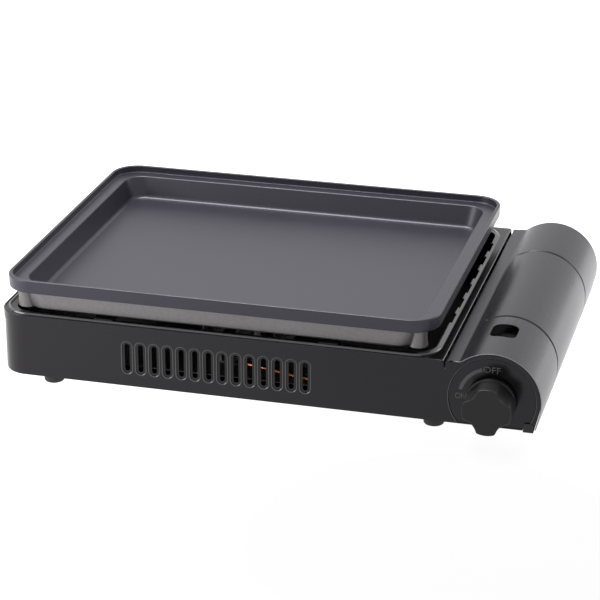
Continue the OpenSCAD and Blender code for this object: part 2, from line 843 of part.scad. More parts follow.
// Cast valve with the shaft's bore and the outlet boss for the pipe
module valve_body() {
    bore_l = 20;
    color("#b9bbbd") difference() {
        union() {
            block([arch_x - valve_w, valve_y, dial_z - valve_w],
                  [arch_x + valve_w, regulator_y, dial_z + valve_w]);
            rod_x(arch_x - valve_w - boss_l, arch_x - valve_w + 1, pipe_y, pipe_z, pipe_r + 2.2);
        }
        rod_y(arch_x, valve_y - 1, valve_y + bore_l, dial_z, shaft_r + run_play);
        rod_x(arch_x - valve_w - boss_l - 1, arch_x - valve_w - boss_l + 3, pipe_y, pipe_z, pipe_r + 0.02);
    }
}

// Round pressure regulator with the seat for the cartridge's nozzle
module regulator() {
    body_r = 24;
    body_l = 16;
    neck_r = 19;
    face_r = 25;
    face_l = 4;
    color("#a9abae") difference() {
        union() {
            rod_y(arch_x, regulator_y, regulator_y + body_l, can_z, body_r);
            rod_y(arch_x, regulator_y + body_l, face_y - face_l, can_z, neck_r);
            rod_y(arch_x, face_y - face_l, face_y, can_z, face_r);
        }
        rod_y(arch_x, face_y - seat_l, face_y + 1, can_z, seat_r);
    }
}

// Magnets that hold the cartridge's collar
module cartridge_magnets() {
    color("#3c3d40") for (a = [30, 150, 270])
        rod_y(arch_x + 16 * cos(a), face_y, face_y + magnet_l, can_z + 16 * sin(a), 4.5);
}

// Tab that the notch in the cartridge's collar lines up with
module cartridge_guide() {
    half_w = 4;
    reach = 9;
    low = can_z + 18;
    tall = 7;
    slot_half = 1.5;
    slot_back = 4;
    slot_top = 4;
    color("#2f2f30") difference() {
        block([arch_x - half_w, face_y, low], [arch_x + half_w, face_y + reach, low + tall]);
        block([arch_x - slot_half, face_y + slot_back, low - 1],
              [arch_x + slot_half, face_y + reach + 1, low + slot_top]);
    }
}

// Moulded body of the igniter with the plunger's bore
module igniter_body() {
    color("#d9d6c8") difference() {
        block([igniter_back, plunger_y - igniter_w, dial_z - igniter_w],
              [igniter_front, bracket_y, dial_z + igniter_w]);
        rod_x(spring_end, igniter_front + 1, plunger_y, dial_z, plunger_r + run_play);
    }
}

// Spring behind the plunger, inside the igniter
module igniter_spring() {
    color("#c0c2c4") difference() {
        rod_x(spring_end, plunger_end, plunger_y, dial_z, plunger_r - 0.3);
        rod_x(spring_end - 1, plunger_end + 1, plunger_y, dial_z, plunger_r - 1.1);
    }
}

// Ceramic insulator with the wire that the spark jumps from
module spark_electrode() {
    wire_r = 0.8;
    tip_z = burner_z + burner_r + 3;
    color("#e6e2d6") rod_z(electrode_x, electrode_y, electrode_z[0], electrode_z[1], electrode_r);
    color("#8f9194") {
        rod_z(electrode_x, electrode_y, electrode_z[1] - 1, tip_z, wire_r);
        translate([electrode_x, electrode_y, tip_z]) sphere(wire_r);
        rod_y(electrode_x, electrode_y, electrode_y + 9, tip_z, wire_r);
    }
}

// Clip that holds the insulator on the heat shield
module electrode_bracket() {
    t = 1.2;
    y = electrode_y - 8;
    z = electrode_z[0] + 8;
    stand_x = plate_x + burner_run / 2 - stand_in;
    stand_half = stand_t / 2 + sheet_play;
    stand_y = mid_y - burner_turn_r - stand_post - sheet_play;
    color("#8b8d90") difference() {
        union() {
            block([electrode_x - 6, y, shield_top], [electrode_x + 6, y + t, z + t]);
            block([electrode_x - 6, y, z], [electrode_x + 6, electrode_y + 5, z + t]);
            block([electrode_x - 6, y - 8, shield_top], [electrode_x + 6, y + t, shield_top + t]);
        }
        rod_z(electrode_x, electrode_y, z - 1, z + t + 1, electrode_r);
        block([stand_x - stand_half, stand_y, shield_top], [stand_x + stand_half, mid_y, burner_z]);
    }
}

// Insulated wire from the igniter to the electrode
module electrode_lead() {
    color("#2b2b2d") bent_rod(lead_points, lead_r, 8);
}

// Two brackets on the partition that carry the lid's pins
module hinge_brackets() {
    hub_r = 3.2;
    hub_drop = 13;
    foot_h = 6;
    color("#9b9da0") for (side = [0, 1]) {
        y0 = side == 0 ? y_in + ear_in + ear_t + ear_gap : y_back_in - ear_in - 2 * ear_t - ear_gap;
        along_y(y0, y0 + ear_t) difference() {
            union() {
                translate([hinge_x, hinge_z]) circle(hub_r);
                translate([hinge_x - hub_r, hinge_z - hub_drop]) square([2 * hub_r, hub_drop]);
                translate([partition_x + sheet, hinge_z - hub_drop])
                    square([hinge_x - partition_x - sheet, foot_h]);
            }
            translate([hinge_x, hinge_z]) circle(pin_r + 0.02);
        }
    }
}

// Two headed pins that the lid turns on
module lid_hinge_pins() {
    head_r = 2.6;
    head_l = 1;
    color("#c4c6c8") for (side = [0, 1]) {
        ear = side == 0 ? y_in + ear_in : y_back_in - ear_in;
        inward = side == 0 ? 1 : -1;
        far = ear + inward * (2 * ear_t + ear_gap + 0.5);
        head = ear - inward * 0.3;
        head_end = head - inward * head_l;
        rod_y(hinge_x, min(head, far), max(head, far), hinge_z, pin_r);
        rod_y(hinge_x, min(head, head_end), max(head, head_end), hinge_z, head_r);
    }
}

// Rubber stops under the lower right corners, which the closed lid comes down beside
module lid_stops() {
    x1 = side_x(sheet + lid_gap, case_gap) - 0.6;
    x0 = x1 - stop_w;
    drop = 2.4;
    rise = 6;
    proud = 0.5;
    face_r = 2.5;
    color("#1f1f20") for (side = [-1, 1]) {
        wall = side < 0 ? y_wall : y_back;
        out = wall + side * proud;
        inner = wall - side * stop_w;
        block([x0, min(out, inner), case_gap - drop], [x1, max(out, inner), case_gap]);
        along_y(min(out, wall), max(out, wall)) rounded([x0, x1], [case_gap - drop, case_gap + rise], face_r);
    }
}

// Feet with a rounded lower edge and a recess for the screw's head
module rubber_feet() {
    bore_l = 4;
    color("#1c1c1d") for (p = feet) difference() {
        translate([p[0], p[1], 0]) rotate_extrude() {
            translate([0, foot_round]) square([foot_r, case_gap - foot_round]);
            square([foot_r - foot_round, case_gap]);
            translate([foot_r - foot_round, foot_round]) circle(foot_round);
        }
        rod_z(p[0], p[1], -1, bore_l, screw_head_r + 0.6);
        rod_z(p[0], p[1], -1, case_gap + 1, screw_r + screw_play);
    }
}

// Screws up through the feet and the case's flange into the base plate
module foot_screws() {
    seat = 4;
    color("#8f9194") for (p = feet) {
        rod_z(p[0], p[1], seat, base_top + 2, screw_r);
        rod_z(p[0], p[1], seat - screw_head_h, seat, screw_head_r);
    }
}

// Screws up through the case's flange into the base plate and the cradle
module case_screws() {
    color("#8f9194") for (p = case_screw_at) {
        rod_z(p[0], p[1], case_gap, base_top + 2, screw_r);
        rod_z(p[0], p[1], case_gap - screw_head_h, case_gap, screw_head_r);
    }
}

// Screws behind the knob that hold the valve bracket on the front wall
module valve_screws() {
    head_r = 1.6 * screw_r;
    color("#8f9194") for (side = [-1, 1]) {
        z = dial_z + side * valve_screw_r;
        rod_y(arch_x, dial_face, dial_back + bracket_t + 2, z, screw_r);
        rod_y(arch_x, dial_face - screw_head_h, dial_face, z, head_r);
    }
}

// Round legs in the corners of the plate's lower wall
module plate_legs() {
    for (sx = [-1, 1], sy = [-1, 1])
        rod_z(plate_x + sx * (plate_w / 2 - leg_in), mid_y + sy * (plate_d / 2 - leg_in),
              plate_z, rim_z, leg_r);
}

// Cast plate with a rim band, a stepped ledge, a drafted pan and a hollow underside
module cooking_plate() {
    pan_top = rim_land + ledge_w;
    pan_low = pan_top + pan_draft;
    skin = 0.01;
    floor_play = 0.15;
    color("#4b4a50") difference() {
        union() {
            along_z(rim_z, plate_top) plate_plan(0);
            hull() {
                along_z(plate_z, plate_z + skin)
                    lower_plan(side_inset + side_draft, wall_inset, lower_corner_r, $fn = hull_fn);
                along_z(rim_z - skin, rim_z + skin)
                    lower_plan(side_inset, wall_inset, lower_corner_r, $fn = hull_fn);
            }
            plate_legs();
        }
        along_z(ledge_z, plate_top + 1) plate_plan(rim_land);
        plate_taper(pan_low, floor_z + 0.4, pan_top, ledge_z + 0.4);
        along_z(floor_z, floor_z + 0.5) plate_plan(pan_low + floor_play);
        difference() {
            along_z(plate_z - 1, ledge_z - plate_wall)
                lower_plan(pan_low + floor_play, wall_inset + plate_wall, lower_corner_r - plate_wall);
            plate_taper(pan_low - plate_wall, plate_z - 2, pan_top - plate_wall, ledge_z);
            plate_legs();
        }
    }
}

// Arched lid in one sheet, with grooves, a window and two hinge ears
module cartridge_lid() {
    color("#6f6d72") difference() {
        union() {
            along_y(y_wall, y_back) difference() {
                intersection() {
                    lid_outline(0, lid_low);
                    translate([x_lid, lid_low]) square([overall_w, overall_w]);
                }
                lid_outline(sheet, lid_low - 5);
            }
            for (y = [y_in + ear_in, y_back_in - ear_in - ear_t]) along_y(y, y + ear_t) {
                translate([hinge_x, hinge_z]) circle(ear_r);
                translate([hinge_x - 1.5, hinge_z]) square([ear_r + 1.5, hinge_drop - sheet / 2]);
            }
        }
        rod_y(hinge_x, y_in, y_back_in, hinge_z, pin_r + run_play);
        for (y = [y_wall - 1, y_back_in - wall_play])
            block([x_lid - 1, y, hinge_z], [ear_cut, y + sheet + wall_play + 1, tray_top + 1]);
        for (y = [y_wall + groove_y[0], y_back - groove_y[1]])
            along_y(y - groove_w / 2, y + groove_w / 2) difference() {
                translate([hinge_x + 10, arch_z]) square([overall_w, overall_w]);
                lid_outline(groove_depth, lid_low - 5);
            }
        along_z(arch_z + arch_r - 8, arch_z + arch_r + 5)
            rounded(
                [arch_x - window_w / 2, arch_x + window_w / 2],
                [y_wall + window_y - window_l / 2, y_wall + window_y + window_l / 2],
                window_r
            );
    }
}

// Outline of the knob's grip, which swells into four lobes
module grip_outline() {
    points = 72;
    mean = (lobe_reach + valley_r) / 2;
    swell = (lobe_reach - valley_r) / 2;
    polygon([for (i = [0 : points - 1]) let (
        a = 360 * i / points,
        r = mean + swell * cos(4 * a)
    ) [r * cos(a), r * sin(a)]]);
}

// Knob with a round skirt and a four lobed grip
module control_knob() {
    back = y_wall - knob_gap;
    color("#302e2f") difference() {
        union() {
            rod_y(arch_x, back - skirt_h, back, dial_z, skirt_r);
            translate([arch_x, 0, dial_z]) along_y(y_knob, back - skirt_h / 2) grip_outline();
        }
        rod_y(arch_x, y_knob + 6, back + 1, dial_z, shaft_r + 0.02);
    }
}

// Shaft from the knob into the valve
module knob_shaft() {
    color("#b08d3c") rod_y(arch_x, y_knob + 6, valve_y + 18, dial_z, shaft_r);
}

// Cam whose radius grows steadily over a quarter turn
module igniter_cam() {
    steps = 18;
    rise = [for (i = [0 : steps]) let (
        a = 180 - 90 * i / steps,
        r = cam_r + plunger_travel * i / steps
    ) [r * cos(a), r * sin(a)]];
    back = [for (i = [1 : 3 * steps]) let (
        a = 60 - 240 * i / (3 * steps + 1)
    ) [cam_r * cos(a), cam_r * sin(a)]];
    color("#e2dfd4") difference() {
        union() {
            translate([arch_x, 0, dial_z]) along_y(cam_y, cam_y + cam_l) polygon(concat(rise, back));
            rod_y(arch_x, cam_y - 1.5, cam_y + cam_l + 1.5, dial_z, shaft_r + 2.5);
        }
        rod_y(arch_x, cam_y - 3, cam_y + cam_l + 3, dial_z, shaft_r + 0.02);
    }
}

// Clip on the shaft in front of the valve bracket
module shaft_clip() {
    clip_t = 0.8;
    y = bracket_y - 0.4 - clip_t;
    color("#8f9194") difference() {
        rod_y(arch_x, y, y + clip_t, dial_z, shaft_r + 2.5);
        rod_y(arch_x, y - 1, y + clip_t + 1, dial_z, shaft_r + 0.02);
    }
}

// Round ended plunger that the cam pushes into the igniter
module igniter_plunger() {
    color("#cfd1d3") {
        rod_x(plunger_end, plunger_tip - plunger_r, plunger_y, dial_z, plunger_r);
        translate([plunger_tip - plunger_r, plunger_y, dial_z]) sphere(plunger_r);
    }
}

lower_case();
base_plate();
top_tray();
partition_wall();
cartridge_cradle();
heat_shield();
burner_straights();
burner_left_end();
burner_right_end();
burner_riser();
burner_stands();
mixing_tube();
gas_jet();
jet_bracket();
gas_pipe();
valve_bracket();
valve_body();
regulator();
cartridge_magnets();
cartridge_guide();
igniter_body();
igniter_spring();
spark_electrode();
electrode_bracket();
electrode_lead();
hinge_brackets();
lid_hinge_pins();
lid_stops();
rubber_feet();
foot_screws();
case_screws();
valve_screws();
cooking_plate();
cartridge_lid();
control_knob();
knob_shaft();
igniter_cam();
shaft_clip();
igniter_plunger();
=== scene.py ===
import json
import math

import bmesh
import bpy
from mathutils import Matrix, Vector


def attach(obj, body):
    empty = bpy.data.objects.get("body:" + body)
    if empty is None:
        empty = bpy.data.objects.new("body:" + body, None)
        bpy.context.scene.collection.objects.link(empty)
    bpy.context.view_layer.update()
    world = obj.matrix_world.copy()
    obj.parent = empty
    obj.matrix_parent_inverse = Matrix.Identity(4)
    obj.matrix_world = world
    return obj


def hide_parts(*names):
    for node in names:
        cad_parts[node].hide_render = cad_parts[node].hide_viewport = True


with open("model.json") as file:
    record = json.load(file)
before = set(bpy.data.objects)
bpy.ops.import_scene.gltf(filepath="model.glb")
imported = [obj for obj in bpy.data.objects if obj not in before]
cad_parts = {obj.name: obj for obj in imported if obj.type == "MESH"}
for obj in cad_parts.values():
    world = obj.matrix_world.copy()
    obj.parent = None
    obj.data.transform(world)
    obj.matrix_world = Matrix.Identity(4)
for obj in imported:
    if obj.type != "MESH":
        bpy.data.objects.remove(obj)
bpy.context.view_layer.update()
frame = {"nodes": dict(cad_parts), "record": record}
solids = frame["nodes"]
scene = bpy.context.scene
scene.view_settings.view_transform = "Standard"
mm = 0.001  # pieces are drawn in millimetres and brought to metres at the end
print("frame loaded,", len(solids), "solids")

# camera at the photograph's angle; offset is right, up and back of the target, in metres
cameraView = {
    "azimuth": 15.004, "elevation": 22.406, "lens": 137.03, "clip": (0.05, 20),
    "target": (-0.0445, 0.01345, 0.1), "offset": (0.03401, -0.06038, 2.15322),
}


def placeCamera():
    s = cameraView
    az, el = math.radians(s["azimuth"]), math.radians(s["elevation"])
    back = Vector((math.sin(az) * math.cos(el), -math.cos(az) * math.cos(el), math.sin(el)))
    right = Vector((math.cos(az), math.sin(az), 0))
    up = back.cross(right)
    side, rise, away = s["offset"]
    cam = bpy.data.objects.new("photoCamera", bpy.data.cameras.new("photoCamera"))
    cam.data.lens = s["lens"]
    cam.data.clip_start, cam.data.clip_end = s["clip"]
    cam.location = Vector(s["target"]) + right * side + up * rise + back * away
    cam.rotation_mode = "QUATERNION"
    cam.rotation_quaternion = (-back).to_track_quat("-Z", "Y")
    scene.collection.objects.link(cam)
    scene.camera = cam


placeCamera()
print("camera placed")

# shader groups shared by the finishes; spread is the stretch of noise that fills the mask
patterns = {
    "speckleAndCloud": {"grainDetail": 2.0, "cloudDetail": 4.0, "spread": (0.32, 0.68)},
    "brushLines": {"lineScale": 1.0, "lineDetail": 3.0, "spread": (0.3, 0.7)},
}


def newGroup(name, inputs, outputs):
    group = bpy.data.node_groups.new(name, "ShaderNodeTree")
    for label, kind, value in inputs:
        socket = group.interface.new_socket(name=label, in_out="INPUT", socket_type=kind)
        socket.default_value = value
    for label in outputs:
        group.interface.new_socket(name=label, in_out="OUTPUT", socket_type="NodeSocketFloat")
    return group, group.nodes.new("NodeGroupInput"), group.nodes.new("NodeGroupOutput")


def makeGrainGroup():  # fine speckle over slow clouds, for enamel, coating, plastic and rubber
    s = patterns["speckleAndCloud"]
    group, given, made = newGroup(
        "speckleAndCloud",
        [
            ("Grain", "NodeSocketFloat", 900.0), ("Cloud", "NodeSocketFloat", 9.0),
            ("Blend", "NodeSocketFloat", 0.5),
        ],
        ["Mask", "Height"],
    )
    place = group.nodes.new("ShaderNodeTexCoord")
    grain = group.nodes.new("ShaderNodeTexNoise")
    cloud = group.nodes.new("ShaderNodeTexNoise")
    grain.inputs["Detail"].default_value = s["grainDetail"]
    cloud.inputs["Detail"].default_value = s["cloudDetail"]
    mix = group.nodes.new("ShaderNodeMix")
    spread = group.nodes.new("ShaderNodeMapRange")
    spread.inputs["From Min"].default_value, spread.inputs["From Max"].default_value = s["spread"]
    link = group.links.new
    link(place.outputs["Object"], grain.inputs["Vector"])
    link(place.outputs["Object"], cloud.inputs["Vector"])
    link(given.outputs["Grain"], grain.inputs["Scale"])
    link(given.outputs["Cloud"], cloud.inputs["Scale"])
    link(given.outputs["Blend"], mix.inputs[0])
    link(cloud.outputs["Fac"], mix.inputs[2])
    link(grain.outputs["Fac"], mix.inputs[3])
    link(mix.outputs[0], spread.inputs["Value"])
    link(spread.outputs["Result"], made.inputs["Mask"])
    link(grain.outputs["Fac"], made.inputs["Height"])
    return group


def makeBrushGroup():  # long fine lines, for rolled, turned and brushed metal
    s = patterns["brushLines"]
    group, given, made = newGroup(
        "brushLines",
        [
            ("Lines", "NodeSocketVector", (40.0, 40.0, 900.0)), ("Cloud", "NodeSocketFloat", 12.0),
            ("Blend", "NodeSocketFloat", 0.6),
        ],
        ["Mask", "Height"],
    )
    place = group.nodes.new("ShaderNodeTexCoord")
    stretch = group.nodes.new("ShaderNodeVectorMath")
    stretch.operation = "MULTIPLY"
    lines = group.nodes.new("ShaderNodeTexNoise")
    lines.inputs["Scale"].default_value = s["lineScale"]
    lines.inputs["Detail"].default_value = s["lineDetail"]
    cloud = group.nodes.new("ShaderNodeTexNoise")
    mix = group.nodes.new("ShaderNodeMix")
    spread = group.nodes.new("ShaderNodeMapRange")
    spread.inputs["From Min"].default_value, spread.inputs["From Max"].default_value = s["spread"]
    link = group.links.new
    link(place.outputs["Object"], stretch.inputs[0])
    link(given.outputs["Lines"], stretch.inputs[1])
    link(stretch.outputs["Vector"], lines.inputs["Vector"])
    link(place.outputs["Object"], cloud.inputs["Vector"])
    link(given.outputs["Cloud"], cloud.inputs["Scale"])
    link(given.outputs["Blend"], mix.inputs[0])
    link(cloud.outputs["Fac"], mix.inputs[2])
    link(lines.outputs["Fac"], mix.inputs[3])
    link(mix.outputs[0], spread.inputs["Value"])
    link(spread.outputs["Result"], made.inputs["Mask"])
    link(lines.outputs["Fac"], made.inputs["Height"])
    return group


speckleAndCloud = makeGrainGroup()
brushLines = makeBrushGroup()

# what a finish has where its own row says nothing
plainFinish = {
    "metal": 0.0, "spec": 0.5, "tint": (1, 1, 1), "coat": 0.0, "coatRough": 0.16, "blend": 0.55,
    "bumpDistance": 0.0004,
}

# finishes: dark and light are the two ends of the colour, rough the two ends of the roughness
finishes = {
    "caseEnamel": {
        "dark": (0.004, 0.0037, 0.004), "light": (0.006, 0.0057, 0.006), "rough": (0.17, 0.22),
        "grain": 700, "bump": 0.01, "spec": 0.36, "tint": (0.98, 0.94, 1.0),
    },
    "borderEnamel": {
        "dark": (0.004, 0.0037, 0.004), "light": (0.006, 0.0057, 0.006), "rough": (0.16, 0.2),
        "grain": 700, "bump": 0.01, "spec": 0.9, "coat": 0.6,
    },
    "trayEnamel": {
        "dark": (0.004, 0.0038, 0.0041), "light": (0.007, 0.0066, 0.0071), "rough": (0.2, 0.25),
        "grain": 700, "bump": 0.01, "spec": 0.36, "tint": (0.95, 0.92, 1.0),
    },
    "lidEnamel": {
        "dark": (0.005, 0.0047, 0.0062), "light": (0.008, 0.0075, 0.0098), "rough": (0.25, 0.3),
        "grain": 2600, "bump": 0.01, "spec": 0.55, "tint": (0.88, 0.86, 1.0),
    },
    # light finish for the lid's front rim and the tray's right edge: a painted highlight
    "rimPaintedHighlight": {
        "dark": (0.2, 0.197, 0.205), "light": (0.28, 0.276, 0.286), "rough": (0.2, 0.28),
        "grain": 900, "bump": 0.03, "metal": 0.5,
    },
    # lighter finish for the tray's bead: a painted highlight
    "beadPaintedHighlight": {
        "dark": (0.05, 0.049, 0.052), "light": (0.07, 0.069, 0.073), "rough": (0.16, 0.22),
        "grain": 900, "bump": 0.03, "spec": 0.7, "coat": 0.3,
    },
    "cradleEnamel": {
        "dark": (0.016, 0.016, 0.017), "light": (0.024, 0.024, 0.0255), "rough": (0.35, 0.45),
        "grain": 700, "bump": 0.05,
    },
    "plateCoating": {
        "dark": (0.0145, 0.0138, 0.0195), "light": (0.027, 0.0257, 0.0365), "rough": (0.3, 0.4),
        "grain": 1500, "bump": 0.1, "blend": 0.75, "spec": 0.56, "tint": (0.9, 0.885, 1.0),
    },
    "bareCasting": {
        "dark": (0.15, 0.145, 0.148), "light": (0.2, 0.194, 0.198), "rough": (0.38, 0.5),
        "grain": 420, "bump": 0.06, "metal": 0.75,
    },
    "brightSheet": {
        "dark": (0.5, 0.5, 0.51), "light": (0.66, 0.66, 0.67), "rough": (0.22, 0.34),
        "lines": (60, 1400, 1400), "bump": 0.04, "metal": 1.0,
    },
    "stainedSheet": {
        "dark": (0.03, 0.028, 0.027), "light": (0.05, 0.047, 0.045), "rough": (0.5, 0.65),
        "grain": 300, "bump": 0.05, "metal": 0.5,
    },
    # light colour of the shield's bare cut edges, partly a painted highlight
    "bareEdgeAndPaintedHighlight": {
        "dark": (0.5, 0.5, 0.5), "light": (0.62, 0.62, 0.62), "rough": (0.45, 0.55),
        "grain": 900, "bump": 0.03, "metal": 0.2,
    },
    "burnerSteel": {
        "dark": (0.3, 0.3, 0.31), "light": (0.42, 0.42, 0.43), "rough": (0.32, 0.45),
        "lines": (50, 900, 900), "bump": 0.05, "metal": 1.0,
    },
    "castAlloy": {
        "dark": (0.2, 0.203, 0.206), "light": (0.28, 0.283, 0.286), "rough": (0.42, 0.55),
        "grain": 800, "bump": 0.15, "metal": 0.9,
    },
    "turnedBrass": {
        "dark": (0.1, 0.068, 0.026), "light": (0.15, 0.105, 0.042), "rough": (0.2, 0.32),
        "lines": (900, 60, 900), "bump": 0.04, "metal": 1.0,
    },
    "copperTube": {
        "dark": (0.4, 0.14, 0.055), "light": (0.52, 0.2, 0.085), "rough": (0.16, 0.24),
        "lines": (60, 900, 900), "bump": 0.04, "metal": 1.0,
    },
    "magnetBlack": {
        "dark": (0.05, 0.05, 0.053), "light": (0.09, 0.09, 0.095), "rough": (0.4, 0.55),
        "grain": 1100, "bump": 0.1, "metal": 0.6,
    },
    "guidePlastic": {
        "dark": (0.02, 0.019, 0.019), "light": (0.03, 0.029, 0.029), "rough": (0.45, 0.55),
        "grain": 900, "bump": 0.06, "spec": 0.3,
    },
    "ivoryPlastic": {
        "dark": (0.6, 0.56, 0.46), "light": (0.7, 0.66, 0.56), "rough": (0.42, 0.52),
        "grain": 900, "bump": 0.06,
    },
    "zincSteel": {
        "dark": (0.42, 0.42, 0.43), "light": (0.56, 0.56, 0.57), "rough": (0.28, 0.4),
        "grain": 1200, "bump": 0.05, "metal": 1.0,
    },
    "glazedCeramic": {
        "dark": (0.68, 0.66, 0.6), "light": (0.78, 0.76, 0.7), "rough": (0.16, 0.24),
        "grain": 500, "bump": 0.03,
    },
    "wireCover": {
        "dark": (0.014, 0.014, 0.015), "light": (0.024, 0.024, 0.026), "rough": (0.5, 0.62),
        "grain": 1300, "bump": 0.06,
    },
    "footRubber": {
        "dark": (0.009, 0.009, 0.0095), "light": (0.016, 0.016, 0.017), "rough": (0.55, 0.7),
        "grain": 1200, "bump": 0.12,
    },
    "knobPlastic": {
        "dark": (0.007, 0.0062, 0.0064), "light": (0.011, 0.0098, 0.0101), "rough": (0.36, 0.46),
        "grain": 1600, "bump": 0.08, "spec": 0.3,
    },
    "dialPrint": {
        "dark": (0.075, 0.074, 0.075), "light": (0.095, 0.094, 0.095), "rough": (0.45, 0.55),
        "grain": 900, "bump": 0.02,
    },
}


def makeFinish(name, row):
    s = {**plainFinish, **row}
    mat = bpy.data.materials.new(name)
    mat.use_nodes = True
    tree = mat.node_tree
    shader = tree.nodes["Principled BSDF"]
    shader.inputs["Metallic"].default_value = s["metal"]
    shader.inputs["Specular IOR Level"].default_value = s["spec"]
    shader.inputs["Specular Tint"].default_value = (*s["tint"], 1)
    shader.inputs["Coat Weight"].default_value = s["coat"]
    shader.inputs["Coat Roughness"].default_value = s["coatRough"]
    pattern = tree.nodes.new("ShaderNodeGroup")
    pattern.node_tree = brushLines if "lines" in s else speckleAndCloud
    if "lines" in s:
        pattern.inputs["Lines"].default_value = s["lines"]
    else:
        pattern.inputs["Grain"].default_value = s["grain"]
    pattern.inputs["Blend"].default_value = s["blend"]
    colour = tree.nodes.new("ShaderNodeMix")
    colour.data_type = "RGBA"
    colour.inputs[6].default_value = (*s["dark"], 1)
    colour.inputs[7].default_value = (*s["light"], 1)
    rough = tree.nodes.new("ShaderNodeMapRange")
    rough.inputs["To Min"].default_value, rough.inputs["To Max"].default_value = s["rough"]
    bump = tree.nodes.new("ShaderNodeBump")
    bump.inputs["Strength"].default_value = s["bump"]
    bump.inputs["Distance"].default_value = s["bumpDistance"]
    link = tree.links.new
    link(pattern.outputs["Mask"], colour.inputs[0])
    link(pattern.outputs["Mask"], rough.inputs["Value"])
    link(pattern.outputs["Height"], bump.inputs["Height"])
    link(colour.outputs[2], shader.inputs["Base Color"])
    link(rough.outputs["Result"], shader.inputs["Roughness"])
    link(bump.outputs["Normal"], shader.inputs["Normal"])
    mat.diffuse_color = (*s["light"], 1)
    return mat


looks = {name: makeFinish(name, row) for name, row in finishes.items()}
print("finishes made:", len(looks))

# which finish each record slot wears on the solids that stay as they are
slotLooks = {
    "case_paint": "caseEnamel", "tray_paint": "trayEnamel", "lid_paint": "lidEnamel",
    "plate_coat": "plateCoating", "bright_steel": "brightSheet", "burner_steel": "burnerSteel",
    "cradle_paint": "cradleEnamel", "cast_alloy": "castAlloy", "brass": "turnedBrass",
    "copper": "copperTube", "magnet": "magnetBlack", "guide_plastic": "guidePlastic",
    "igniter_plastic": "ivoryPlastic", "fastener_steel": "zincSteel", "ceramic": "glazedCeramic",
    "lead_rubber": "wireCover", "foot_rubber": "footRubber", "knob_plastic": "knobPlastic",
}
slotOf = {part["node"]: part["material_slot"] for part in frame["record"]["subparts"]}
painted = {"valve_screws": "caseEnamel"}  # screws that are painted over with the wall they sit on
for name, solid in solids.items():
    solid.data.materials.clear()
    solid.data.materials.append(looks[painted.get(name, slotLooks[slotOf[name]])])
print("solids dressed")


# helpers that several pieces share
def scaleAll(bm, by):
    bmesh.ops.scale(bm, vec=(by, by, by), verts=bm.verts)


def makePiece(name, bm, wears, body, stands=(), smooth=40):
    scaleAll(bm, mm)
    mesh = bpy.data.meshes.new(name)
    bm.to_mesh(mesh)
    bm.free()
    for look in wears:
        mesh.materials.append(looks[look])
    mesh.shade_smooth()
    mesh.set_sharp_from_angle(angle=math.radians(smooth))
    piece = bpy.data.objects.new(name, mesh)
    scene.collection.objects.link(piece)
    even = piece.modifiers.new("evenShading", "WEIGHTED_NORMAL")
    even.keep_sharp = True
    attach(piece, body)
    if stands:
        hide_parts(*stands)
    return piece


def vertsIn(geom):
    return [g for g in geom if isinstance(g, bmesh.types.BMVert)]


def extrudeLine(bm, line):  # gives the new corners and the new line
    grown = bmesh.ops.extrude_edge_only(bm, edges=line)["geom"]
    verts = vertsIn(grown)
    edges = [g for g in grown if isinstance(g, bmesh.types.BMEdge)]
    return verts, [e for e in edges if all(v in verts for v in e.verts)]


def extrudeFace(bm, face, height):
    top = vertsIn(bmesh.ops.extrude_face_region(bm, geom=[face])["geom"])
    bmesh.ops.translate(bm, vec=(0, 0, height), verts=top)


def outlineRing(bm, x, y, z, radii, segments=12):  # rounded rectangle; radii of the left and right corners
    known = set(bm.faces)
    corners = [bm.verts.new((x[i], y[j], z)) for i, j in ((0, 0), (1, 0), (1, 1), (0, 1))]
    bm.faces.new(corners)
    for pair, radius in (((0, 3), radii[0]), ((1, 2), radii[1])):
        bmesh.ops.bevel(
            bm, geom=[corners[k] for k in pair], offset=radius, offset_type="OFFSET", segments=segments,
            profile=0.5, affect="VERTICES", material=-1, clamp_overlap=False,
        )
    return next(face for face in bm.faces if face not in known)


def roundedBlock(bm, x, y, z, radius, segments=8):  # upright block with rounded corners in plan
    extrudeFace(bm, outlineRing(bm, x, y, z[0], (radius, radius), segments), z[1] - z[0])


def roundEdges(bm, edges, width, segments=3, clamp=True):
    return bmesh.ops.bevel(
        bm, geom=edges, offset=width, offset_type="OFFSET", segments=segments,
        profile=0.5, affect="EDGES", material=-1, clamp_overlap=clamp,
    )["faces"]


def stackRings(bm, rings, apart):
    for k, ring in enumerate(rings):
        verts = list({v for e in ring for v in e.verts})
        bmesh.ops.translate(bm, vec=(0, 0, k * apart), verts=verts)


def bridgeRings(bm, rings, apart=50.0):  # stacked apart meanwhile, so that level rings pair up rightly
    stackRings(bm, rings, apart)
    bands = [bmesh.ops.bridge_loops(bm, edges=a + b)["faces"] for a, b in zip(rings, rings[1:])]
    stackRings(bm, rings, -apart)
    return bands


def sharpEdges(bm, degrees):
    least = math.radians(degrees)
    return [e for e in bm.edges if len(e.link_faces) == 2 and e.calc_face_angle(0) > least]


def cleanMesh(bm, flat, merge=0.002):  # joins doubled corners, and faces that lie flat within some degrees
    bmesh.ops.remove_doubles(bm, verts=bm.verts, dist=merge)
    bmesh.ops.dissolve_limit(
        bm, angle_limit=math.radians(flat), use_dissolve_boundaries=False, verts=bm.verts, edges=bm.edges,
    )


def evaluatedMesh(holder):
    bpy.context.view_layer.update()
    graph = bpy.context.evaluated_depsgraph_get()
    return bpy.data.meshes.new_from_object(holder.evaluated_get(graph))


